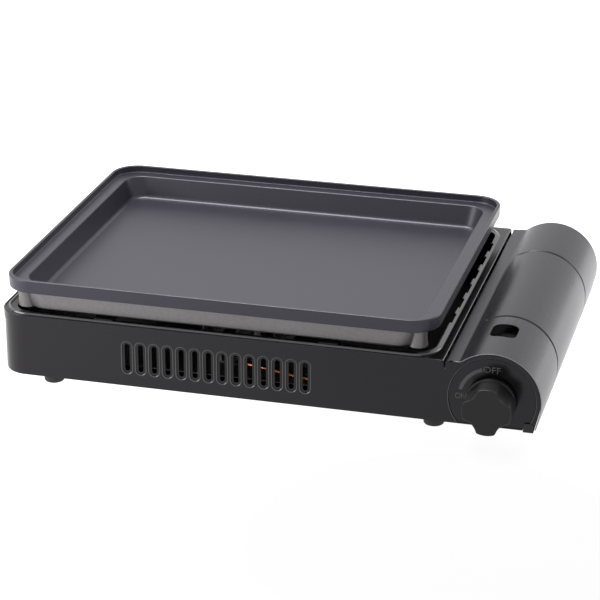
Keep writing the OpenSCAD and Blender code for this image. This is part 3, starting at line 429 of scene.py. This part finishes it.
# cooking plate, in mm: each step is inset from the rim, height, rounding, finish of the band that follows
# (0 coated, 1 bare), and how much further in it stands at the left and right
plateShape = {
    "centre": (-44.5, 13.45), "size": (400.0, 330.0), "corner": 26.0, "lowerCorner": 22.0, "segments": 4,
    "steps": [
        (21.0, 72.6, 3.0, 0, 0), (15.5, 93.5, 1.0, 0, 0), (3.5, 93.5, 1.0, 0, 0), (3.2, 100.0, 0.6, 0, 0),
        (0.0, 100.0, 1.1, 0, 0), (0.2, 88.0, 1.3, 0, 0), (7.0, 88.0, 0.8, 1, 6.6), (7.3, 70.6, 2.2, 1, 10.2),
        (9.8, 70.6, 0.6, 1, 10.2), (17.6, 69.7, 1.0, 1, 4.0),
    ],
    "legIn": 19.0, "legLean": 2.4, "legSteps": 36, "legMerge": 0.001,
    "legProfile": [
        (0.0, 69.6), (8.2, 69.6), (8.9, 70.5), (8.2, 73.0), (7.2, 78.0), (6.6, 84.0), (6.4, 89.0),
    ],
}


def addLeg(bm, sx, sy):  # turned leg that leans out toward the rim
    s = plateShape
    (cx, cy), (w, d) = s["centre"], s["size"]
    at = Vector((cx + sx * (w / 2 - s["legIn"]), cy + sy * (d / 2 - s["legIn"]), 0))
    chain = [bm.verts.new(at + Vector((r, 0, z))) for r, z in s["legProfile"]]
    line = [bm.edges.new(pair) for pair in zip(chain, chain[1:])]
    known = set(bm.faces)
    bmesh.ops.spin(
        bm, geom=chain + line, cent=at, axis=(0, 0, 1), angle=2 * math.pi, steps=s["legSteps"], use_merge=True,
    )
    leg = [face for face in bm.faces if face not in known]
    bmesh.ops.remove_doubles(bm, verts=list({v for face in leg for v in face.verts}), dist=s["legMerge"])
    leg = [face for face in bm.faces if face not in known]
    bmesh.ops.recalc_face_normals(bm, faces=leg)
    low, high = s["legProfile"][0][1], s["legProfile"][-1][1]
    for v in {v for face in leg for v in face.verts}:
        out = s["legLean"] * (v.co.z - low) / (high - low)
        v.co += Vector((sx * out, sy * out, 0))
    for face in leg:
        face.material_index = 1


def makePlate():
    s = plateShape
    bm = bmesh.new()
    (cx, cy), (w, d) = s["centre"], s["size"]
    rings, caps = [], []
    for i, (inset, z, _, look, further) in enumerate(s["steps"]):
        radius = s["lowerCorner"] if further else s["corner"] - inset / 2
        side = w / 2 - inset - further
        x, y = (cx - side, cx + side), (cy - d / 2 + inset, cy + d / 2 - inset)
        face = outlineRing(bm, x, y, z, (radius, radius))
        rings.append(list(face.edges))
        if i in (0, len(s["steps"]) - 1):
            face.material_index = look
        else:
            caps.append(face)
    bmesh.ops.delete(bm, geom=caps, context="FACES_ONLY")
    for band, step in zip(bridgeRings(bm, rings), s["steps"]):
        for face in band:
            face.material_index = step[3]
    for ring, step in zip(rings, s["steps"]):
        roundEdges(bm, ring, step[2], s["segments"])
    bmesh.ops.recalc_face_normals(bm, faces=bm.faces)
    for sx in (-1, 1):
        for sy in (-1, 1):
            addLeg(bm, sx, sy)
    makePiece("cookingPlate", bm, ["plateCoating", "bareCasting"], "plate", ["cooking_plate"])


makePlate()
print("cooking plate made")

# solids that keep their shape and get rounded edges: width of the rounding in mm
softened = {
    "lower_case": ("caseShell", 0.28, "stove_body"), "heat_shield": ("heatShield", 0.2, "stove_body"),
    "rubber_feet": ("rubberFeet", 0.4, "stove_body"), "lid_stops": ("cornerStops", 0.45, "stove_body"),
}
softening = {"flat": 0.6, "sharp": 30, "segments": 3, "edgeFacing": 0.5}

# borders that are pressed into the long walls, in mm: the slots' band and the dial, and their rounding
pressed = {
    "walls": (-152.95, 179.85), "band": ((-130.0, 45.0), (18.0, 55.0)), "dial": (206.5, 34.0, 38.2),
    "sharp": 60, "wallPlay": 0.02, "dialPlay": 0.15, "width": 0.95, "segments": 5,
}


def pressedEdges(bm):
    s = pressed
    (x0, x1), (z0, z1) = s["band"]
    ax, az, r = s["dial"]
    play = s["wallPlay"]
    found = []
    for e in sharpEdges(bm, s["sharp"]):
        a, b = e.verts[0].co, e.verts[1].co
        at = (a + b) / 2
        onWall = abs(a.y - b.y) < play and any(abs(v.y - wall) < play for wall in s["walls"] for v in (a, b))
        onDial = abs(math.hypot(at.x - ax, at.z - az) - r) < s["dialPlay"]
        if onWall and ((x0 < at.x < x1 and z0 < at.z < z1) or onDial):
            found.append(e)
    return found


def makeSoftened(node, name, width, body):
    s = softening
    bm = bmesh.new()
    bm.from_mesh(solids[node].data)
    scaleAll(bm, 1 / mm)
    cleanMesh(bm, s["flat"])
    wears = [slotLooks[slotOf[node]]]
    if node == "lower_case":
        wears.append("borderEnamel")
        for face in roundEdges(bm, pressedEdges(bm), pressed["width"], pressed["segments"], clamp=False):
            face.material_index = 1
    roundEdges(bm, sharpEdges(bm, s["sharp"]), width, s["segments"])
    if node == "heat_shield":  # smoke stained on its flat sides, bare along its cut edges
        # the cut edges' light colour is partly bare steel and partly a painted highlight
        wears = ["stainedSheet", "bareEdgeAndPaintedHighlight"]
        for face in bm.faces:
            face.material_index = 1 if abs(face.normal.z) < s["edgeFacing"] else 0
    makePiece(name, bm, wears, body, [node])


for node, (name, width, body) in softened.items():
    makeSoftened(node, name, width, body)
print("case, shield, feet and stops softened")

# top tray, in mm: each step is the outline it follows, how far inside it, height, rounding,
# and how far its right side is drawn inward and up, where the bead leans outward above the vents
trayShape = {
    "outer": {"x": (-250.0, 163.5), "y": (-153.55, 180.45), "corners": (25.6, 1.6)},
    "recess": {"x": (-241.5, 153.5), "y": (-145.05, 171.95), "corners": (20.0, 20.0)},
    "steps": [
        ("outer", 0.0, 59.0, 0, (0, 7.5)), ("outer", 0.0, 67.2, 0.6, (0, 0)),
        ("outer", 1.7, 67.2, 0.4, (0, 0)), ("outer", 2.3, 66.7, 0.2, (0, 0)),
        ("recess", -5.4, 66.7, 0.2, (2.2, 0)), ("recess", -4.6, 68.4, 0.6, (2.1, -0.8)),
        ("recess", -3.2, 68.4, 0.6, (4.1, 0.8)), ("recess", -2.2, 67.0, 0.3, (3.6, 1.4)),
        ("recess", 0.0, 66.9, 0.3, (1.2, 1.3)), ("recess", 3.6, 66.6, 0.6, (-1.7, 1.5)),
        ("recess", 3.9, 51.0, 1.2, (-3.6, 0)), ("recess", 9.6, 51.0, 0.4, (-3.6, 0)),
    ],
    # beadFrom and seamFrom bound the faces that wear painted highlights
    "leastCorner": 0.4, "segments": 3, "sheet": 0.5, "beadFrom": 67.25, "seamFrom": 162.6, "seamFacing": 0.2,
    "vents": {
        "count": 6, "pitch": 36.5, "length": 22.0, "middle": 28.45, "x": 154.5, "low": 60.0, "near": 146.0,
        "merge": 0.0001,
    },
}


def cutVents(bm):  # takes the vents out of the right wall, before the sheet gets its thickness
    s = trayShape["vents"]
    spans = []
    for k in range(s["count"]):
        y = s["middle"] + (k - (s["count"] - 1) / 2) * s["pitch"]
        spans.append((y - s["length"] / 2, y + s["length"] / 2))
    planes = [((0, y, 0), (0, 1, 0)) for span in spans for y in span]
    planes += [((s["x"], 0, 0), (1, 0, 0)), ((0, 0, s["low"]), (0, 0, 1))]
    for point, normal in planes:
        side = [f for f in bm.faces if f.calc_center_median().x > s["near"]]
        geom = list({*side, *(e for f in side for e in f.edges), *(v for f in side for v in f.verts)})
        bmesh.ops.bisect_plane(bm, geom=geom, dist=s["merge"], plane_co=point, plane_no=normal)
    holes = []
    for f in bm.faces:
        at = f.calc_center_median()
        if s["near"] < at.x < s["x"] and at.z > s["low"] and any(a < at.y < b for a, b in spans):
            holes.append(f)
    bmesh.ops.delete(bm, geom=holes, context="FACES")


def makeTray():
    s = trayShape
    bm = bmesh.new()
    rings = []
    for which, inset, z, _, (inward, rise) in s["steps"]:
        shape = s[which]
        x, y = ((shape[way][0] + inset, shape[way][1] - inset) for way in ("x", "y"))
        face = outlineRing(bm, x, y, z, [max(s["leastCorner"], r - inset) for r in shape["corners"]])
        for v in face.verts:
            lean = max(0.0, 1 - (x[1] - v.co.x) / shape["corners"][1])
            v.co.x -= inward * lean
            v.co.z += rise * lean
        rings.append(list(face.edges))
        bmesh.ops.delete(bm, geom=[face], context="FACES_ONLY")
    bridgeRings(bm, rings)
    for ring, step in list(zip(rings, s["steps"]))[1:-1]:
        roundEdges(bm, ring, step[3], s["segments"])
    bmesh.ops.recalc_face_normals(bm, faces=bm.faces)
    if sum(f.normal.z * f.calc_area() for f in bm.faces) < 0:
        bmesh.ops.reverse_faces(bm, faces=bm.faces)
    cutVents(bm)
    bmesh.ops.solidify(bm, geom=list(bm.faces), thickness=s["sheet"])
    for f in bm.faces:
        at = f.calc_center_median()
        # faces above beadFrom wear the bead's painted highlight
        if at.z > s["beadFrom"]:
            f.material_index = 1
        # upward faces right of seamFrom wear the rim's painted highlight
        elif at.x > s["seamFrom"] and f.normal.z > s["seamFacing"]:
            f.material_index = 2
    wears = ["trayEnamel", "beadPaintedHighlight", "rimPaintedHighlight"]
    makePiece("topTray", bm, wears, "stove_body", ["top_tray"])


makeTray()

# pads pressed up from the tray, on which the plate stands, in mm
padShape = {
    "x": (-148.5, 59.5), "y": (-148.55, 175.45), "width": 18.0, "depth": 15.0, "z": (67.0, 69.4),
    "corner": 2.0, "sharp": 50, "edge": 0.5, "segments": 3,
}


def makePads():
    s = padShape
    bm = bmesh.new()
    half = s["width"] / 2
    for y, inward in zip(s["y"], (1, -1)):
        for x in s["x"]:
            span = sorted((y, y + inward * s["depth"]))
            roundedBlock(bm, (x - half, x + half), span, s["z"], s["corner"])
    bmesh.ops.recalc_face_normals(bm, faces=bm.faces)
    roundEdges(bm, sharpEdges(bm, s["sharp"]), s["edge"], s["segments"])
    makePiece("platePads", bm, ["trayEnamel"], "stove_body")


makePads()
print("tray and pads made")

# arched lid, in mm: outline in X and Z, drawn out from the front to the rear
lidShape = {
    "edge": 165.7, "flat": 67.2, "centre": (206.5, 34.0), "radius": 43.5, "lean": 13.0, "foot": 10.0,
    "fillet": 6.0, "hem": 1.6, "hemRound": 1.2, "front": -152.95, "rear": 179.85, "sheet": 0.8,
    "archSteps": 60, "filletSteps": 8, "hemSteps": 5,
    "grooves": (-65.95, 99.85), "grooveWidth": 3.8, "grooveDepth": 1.9, "grooveSpan": (-20.0, 122.0),
    "grooveProfile": [(-1, 0.0), (-0.62, 0.45), (-0.25, 0.95), (0.25, 0.95), (0.62, 0.45), (1, 0.0)],
    "archPlay": 0.01, "brightEdge": 0.45,
    "windowCentre": (206.5, -98.95), "windowSize": (23.5, 28.0), "windowCorner": 7.0, "windowZ": (66, 86),
    "endCut": {"x": (164.7, 172.1), "depth": 1.2, "z": (62.5, 69.0), "corner": 0.2},
    "cutFlat": 0.3, "cutSharp": 50, "cutRound": 0.25, "cutSegments": 2, "smooth": 35,
}


def spinPoint(bm, point, cent, axis, angle, steps):  # gives the last corner of the arc
    arc = bmesh.ops.spin(bm, geom=[point], cent=cent, axis=axis, angle=angle, steps=steps, use_merge=False)
    return vertsIn(arc["geom_last"])[0]


def drawLidOutline(bm):  # from the foot at the right, over the arch, to the hem at the tray
    s = lidShape
    (cx, cz), r, lean = s["centre"], s["radius"], math.radians(s["lean"])
    y = s["front"]
    shoulder = Vector((cx + r * math.cos(lean), y, cz - r * math.sin(lean)))
    foot = Vector((shoulder.x - (shoulder.z - s["foot"]) * math.tan(lean), y, s["foot"]))
    rise = s["flat"] + s["fillet"]
    bend = Vector((cx - math.sqrt((r + s["fillet"]) ** 2 - (rise - cz) ** 2), y, rise))
    reach = Vector((cx, y, cz)) - bend
    meet = math.atan2(-reach.z, -reach.x)
    fall = math.pi / 2 - math.atan2(-reach.z, reach.x)
    low = bm.verts.new(foot)
    turn = bm.verts.new(shoulder)
    bm.edges.new((low, turn))
    last = spinPoint(bm, turn, (cx, y, cz), (0, -1, 0), meet + lean, s["archSteps"])
    last = spinPoint(bm, last, bend, (0, 1, 0), fall, s["filletSteps"])
    inner = s["edge"] + s["hemRound"]
    rim = bm.verts.new((inner, y, s["flat"]))
    bm.edges.new((last, rim))
    centre = (inner, y, s["flat"] - s["hemRound"])
    last = spinPoint(bm, rim, centre, (0, -1, 0), math.pi / 2, s["hemSteps"])
    hem = bm.verts.new((s["edge"], y, s["flat"] - s["hem"]))
    bm.edges.new((last, hem))


def drawLidOut(bm):  # along the lid, sinking the arch where a groove runs
    s = lidShape
    (cx, cz), r = s["centre"], s["radius"]
    half = s["grooveWidth"] / 2
    stations = [(s["front"], 0.0)]
    for g in s["grooves"]:
        stations += [(g + half * along, depth) for along, depth in s["grooveProfile"]]
    stations.append((s["rear"], 0.0))
    first, final = s["grooveSpan"]
    line = list(bm.edges)
    for (was, _), (at, depth) in zip(stations, stations[1:]):
        verts, line = extrudeLine(bm, line)
        bmesh.ops.translate(bm, vec=(0, at - was, 0), verts=verts)
        for v in verts:
            angle = math.degrees(math.atan2(v.co.z - cz, v.co.x - cx))
            plain = math.hypot(v.co.x - cx, v.co.z - cz)
            if plain < r + s["archPlay"] and first < angle < final:
                want = r - depth * s["grooveDepth"]
                v.co.x, v.co.z = cx + (v.co.x - cx) * want / plain, cz + (v.co.z - cz) * want / plain


def cutLid(lid):  # takes out the window and the room for the case's end walls, and leaves plain mesh behind
    s = lidShape
    (wx, wy), (ww, wl) = s["windowCentre"], s["windowSize"]
    tool = bmesh.new()
    x, y = (wx - ww / 2, wx + ww / 2), (wy - wl / 2, wy + wl / 2)
    roundedBlock(tool, x, y, s["windowZ"], s["windowCorner"])
    end = s["endCut"]
    for y, inward in ((s["front"], 1), (s["rear"], -1)):
        roundedBlock(tool, end["x"], sorted((y - inward, y + inward * end["depth"])), end["z"], end["corner"])
    bmesh.ops.recalc_face_normals(tool, faces=tool.faces)
    scaleAll(tool, mm)
    mesh = bpy.data.meshes.new("cutter")
    tool.to_mesh(mesh)
    tool.free()
    cutter = bpy.data.objects.new("cutter", mesh)
    scene.collection.objects.link(cutter)
    cut = lid.modifiers.new("cut", "BOOLEAN")
    cut.object = cutter
    cut.operation = "DIFFERENCE"
    cut.solver = "EXACT"
    shaped = evaluatedMesh(lid)
    lid.modifiers.remove(cut)
    bpy.data.objects.remove(cutter)
    bm = bmesh.new()
    bm.from_mesh(shaped)
    bpy.data.meshes.remove(shaped)
    scaleAll(bm, 1 / mm)
    cleanMesh(bm, s["cutFlat"])
    roundEdges(bm, sharpEdges(bm, s["cutSharp"]), s["cutRound"], s["cutSegments"])
    scaleAll(bm, mm)
    bm.to_mesh(lid.data)
    bm.free()
    lid.data.shade_smooth()
    lid.data.set_sharp_from_angle(angle=math.radians(s["smooth"]))


def makeLid():
    s = lidShape
    bm = bmesh.new()
    drawLidOutline(bm)
    drawLidOut(bm)
    bmesh.ops.recalc_face_normals(bm, faces=bm.faces)
    top = max(bm.faces, key=lambda f: f.calc_center_median().z)
    if top.normal.z < 0:
        bmesh.ops.reverse_faces(bm, faces=bm.faces)
    bmesh.ops.solidify(bm, geom=list(bm.faces), thickness=s["sheet"])
    lid = makePiece("cartridgeLid", bm, ["lidEnamel"], "lid", ["cartridge_lid"])
    cutLid(lid)
    # faces along the lid's front edge wear the light rim finish: a painted highlight
    lid.data.materials.append(looks["rimPaintedHighlight"])
    for face in lid.data.polygons:
        if face.center.y < (s["front"] + s["brightEdge"]) * mm:
            face.material_index = 1


makeLid()
print("lid made")

# knob, in mm: built along its own axis and turned to face the front
knobShape = {
    "axis": (206.5, 34.0), "back": -154.55, "skirtRadius": 21.9, "skirtHeight": 4.5,
    "skirtSharp": 60, "skirtRound": 0.9, "skirtSegments": 3, "topRound": 1.1, "topSegments": 4, "smooth": 50,
    "lobe": 21.6, "scoop": 14.0, "blend": 2.2, "points": 144,
    "valleys": [(3.6, 18.5), (9.0, 18.2), (14.5, 17.9), (20.0, 17.7), (25.9, 17.4)],
}


def gripRadius(a, valley):  # round grip with four scoops between its lobes, blended at their edges
    s = knobShape
    off = abs(a % (math.pi / 2) - math.pi / 4)
    reach = s["scoop"] + valley
    room = s["scoop"] ** 2 - (reach * math.sin(off)) ** 2
    if room <= 0:
        return s["lobe"]
    cut = reach * math.cos(off) - math.sqrt(room)
    near = max(s["blend"] - abs(s["lobe"] - cut), 0) / s["blend"]
    return min(s["lobe"], cut) - near ** 2 * s["blend"] / 4


def makeKnob():
    s = knobShape
    bm = bmesh.new()
    disc = bmesh.ops.create_circle(bm, cap_ends=True, segments=s["points"], radius=s["skirtRadius"])["verts"]
    extrudeFace(bm, disc[0].link_faces[0], s["skirtHeight"])
    roundEdges(bm, sharpEdges(bm, s["skirtSharp"]), s["skirtRound"], s["skirtSegments"])
    verts = bmesh.ops.create_circle(bm, cap_ends=False, segments=s["points"], radius=1.0)["verts"]
    line = list({e for v in verts for e in v.link_edges})
    for i, (z, valley) in enumerate(s["valleys"]):
        if i:
            verts, line = extrudeLine(bm, line)
        for v in verts:
            a = math.atan2(v.co.y, v.co.x)
            r = gripRadius(a, valley)
            v.co = (r * math.cos(a), r * math.sin(a), z)
    bmesh.ops.edgeloop_fill(bm, edges=line)
    roundEdges(bm, line, s["topRound"], s["topSegments"])
    bmesh.ops.recalc_face_normals(bm, faces=bm.faces)
    toFront = Matrix.Rotation(math.pi / 2, 3, "X")
    bmesh.ops.rotate(bm, cent=(0, 0, 0), matrix=toFront, verts=bm.verts)
    bmesh.ops.translate(bm, vec=(s["axis"][0], s["back"], s["axis"][1]), verts=bm.verts)
    makePiece("controlKnob", bm, ["knobPlastic"], "knob", ["control_knob"], smooth=s["smooth"])


makeKnob()
print("knob made")

# dial print on the front wall, in mm from the knob's axis: each word's corner, height and width,
# and the band's inner and outer radius, start and end
dialMarks = {
    "axis": (206.5, 34.0), "wall": -152.0,
    "words": [("OFF", (-8.4, 25.1), 5.8, 15.2), ("ON", (-32.4, -1.9), 5.4, 9.6)],
    "band": (27.2, 30.4, 109.0, 166.0), "bandSteps": 28,
}


def makeDialMarks():
    s = dialMarks
    ax, az = s["axis"]
    bm = bmesh.new()
    for word, (x, z), height, width in s["words"]:
        text = bpy.data.curves.new("dialWord", "FONT")
        text.body = word
        holder = bpy.data.objects.new("dialWord", text)
        scene.collection.objects.link(holder)
        flat = evaluatedMesh(holder)
        bpy.data.objects.remove(holder)
        xs, ys = [v.co.x for v in flat.vertices], [v.co.y for v in flat.vertices]
        fit = Matrix.Diagonal((width / (max(xs) - min(xs)), height / (max(ys) - min(ys)), 1, 1))
        flat.transform(fit @ Matrix.Translation((-min(xs), -min(ys), 0)))
        toWall = Matrix.Translation((ax + x, s["wall"], az + z)) @ Matrix.Rotation(math.pi / 2, 4, "X")
        flat.transform(toWall)
        bm.from_mesh(flat)
        bpy.data.meshes.remove(flat)
    inner, outer, start, end = s["band"]
    a = math.radians(start)
    ends = [bm.verts.new((ax + r * math.cos(a), s["wall"], az + r * math.sin(a))) for r in (inner, outer)]
    edge = bm.edges.new(ends)
    bmesh.ops.spin(
        bm, geom=[*ends, edge], cent=(ax, s["wall"], az), axis=(0, -1, 0), angle=math.radians(end - start),
        steps=s["bandSteps"], use_merge=False,
    )
    bmesh.ops.recalc_face_normals(bm, faces=bm.faces)
    for face in bm.faces:
        if face.normal.y > 0:
            face.normal_flip()
    makePiece("dialPrint", bm, ["dialPrint"], "stove_body")


makeDialMarks()
print("dial print made")

# studio: pale floor, white surround, soft lamps by place, size and strength; watts and metres
studio = {
    "floorSize": 12.0, "floorColour": (0.86, 0.86, 0.86, 1), "floorWhite": 0.93, "surround": (0.28, 1.0),
    "glowFrom": (0.2, -0.35, 0.0), "glowReach": (0.15, 0.7), "glowLevel": (0.98, 1.85),
    "lamps": [
        ("topLamp", (-0.45, 0.35, 1.7), 0.9, 39.0),
        ("rightLamp", (1.3, 0.9, 0.7), 0.9, 6.0),
        ("leftLamp", (-0.75, -0.5, 0.3), 0.5, 4.0),
    ],
    "aim": (-0.02, 0.0, 0.05),
}


def seenDirectly(tree):  # 1 for camera, mirror and glass rays
    path = tree.nodes.new("ShaderNodeLightPath")
    first = tree.nodes.new("ShaderNodeMath")
    first.operation = "MAXIMUM"
    both = tree.nodes.new("ShaderNodeMath")
    both.operation = "MAXIMUM"
    tree.links.new(path.outputs["Is Camera Ray"], first.inputs[0])
    tree.links.new(path.outputs["Is Glossy Ray"], first.inputs[1])
    tree.links.new(first.outputs[0], both.inputs[0])
    tree.links.new(path.outputs["Is Transmission Ray"], both.inputs[1])
    return both.outputs[0]


def makeFloorPaint():  # matte white that looks brighter with distance from the front of the part
    s = studio
    paint = bpy.data.materials.new("floorPaint")
    paint.use_nodes = True
    tree = paint.node_tree
    tree.nodes.remove(tree.nodes["Principled BSDF"])
    matte = tree.nodes.new("ShaderNodeBsdfDiffuse")
    matte.inputs["Color"].default_value = s["floorColour"]
    glow = tree.nodes.new("ShaderNodeEmission")
    place = tree.nodes.new("ShaderNodeTexCoord")
    away = tree.nodes.new("ShaderNodeVectorMath")
    away.operation = "DISTANCE"
    away.inputs[1].default_value = s["glowFrom"]
    rise = tree.nodes.new("ShaderNodeMapRange")
    rise.inputs["From Min"].default_value, rise.inputs["From Max"].default_value = s["glowReach"]
    rise.inputs["To Min"].default_value, rise.inputs["To Max"].default_value = s["glowLevel"]
    share = tree.nodes.new("ShaderNodeMath")
    share.operation = "MULTIPLY"
    share.inputs[1].default_value = s["floorWhite"]
    mix = tree.nodes.new("ShaderNodeMixShader")
    link = tree.links.new
    link(place.outputs["Object"], away.inputs[0])
    link(away.outputs["Value"], rise.inputs["Value"])
    link(rise.outputs["Result"], glow.inputs["Strength"])
    link(seenDirectly(tree), share.inputs[0])
    link(share.outputs[0], mix.inputs[0])
    link(matte.outputs[0], mix.inputs[1])
    link(glow.outputs[0], mix.inputs[2])
    link(mix.outputs[0], tree.nodes["Material Output"].inputs["Surface"])
    return paint


def makeFloor():
    bm = bmesh.new()
    bmesh.ops.create_grid(bm, x_segments=2, y_segments=2, size=studio["floorSize"] / 2)
    mesh = bpy.data.meshes.new("studioFloor")
    bm.to_mesh(mesh)
    bm.free()
    floor = bpy.data.objects.new("studioFloor", mesh)
    scene.collection.objects.link(floor)
    mesh.materials.append(makeFloorPaint())


def makeSurround():
    world = bpy.data.worlds.new("whiteRoom")
    world.use_nodes = True
    tree = world.node_tree
    level = tree.nodes.new("ShaderNodeMapRange")
    level.inputs["To Min"].default_value, level.inputs["To Max"].default_value = studio["surround"]
    tree.links.new(seenDirectly(tree), level.inputs["Value"])
    tree.links.new(level.outputs["Result"], tree.nodes["Background"].inputs["Strength"])
    tree.nodes["Background"].inputs["Color"].default_value = (1, 1, 1, 1)
    scene.world = world


def hangLamps():
    for name, place, size, power in studio["lamps"]:
        lamp = bpy.data.lights.new(name, "AREA")
        lamp.size = size
        lamp.energy = power
        holder = bpy.data.objects.new(name, lamp)
        holder.location = place
        holder.rotation_mode = "QUATERNION"
        holder.rotation_quaternion = (Vector(studio["aim"]) - Vector(place)).to_track_quat("-Z", "Y")
        scene.collection.objects.link(holder)


makeFloor()
makeSurround()
hangLamps()
print("studio lit")
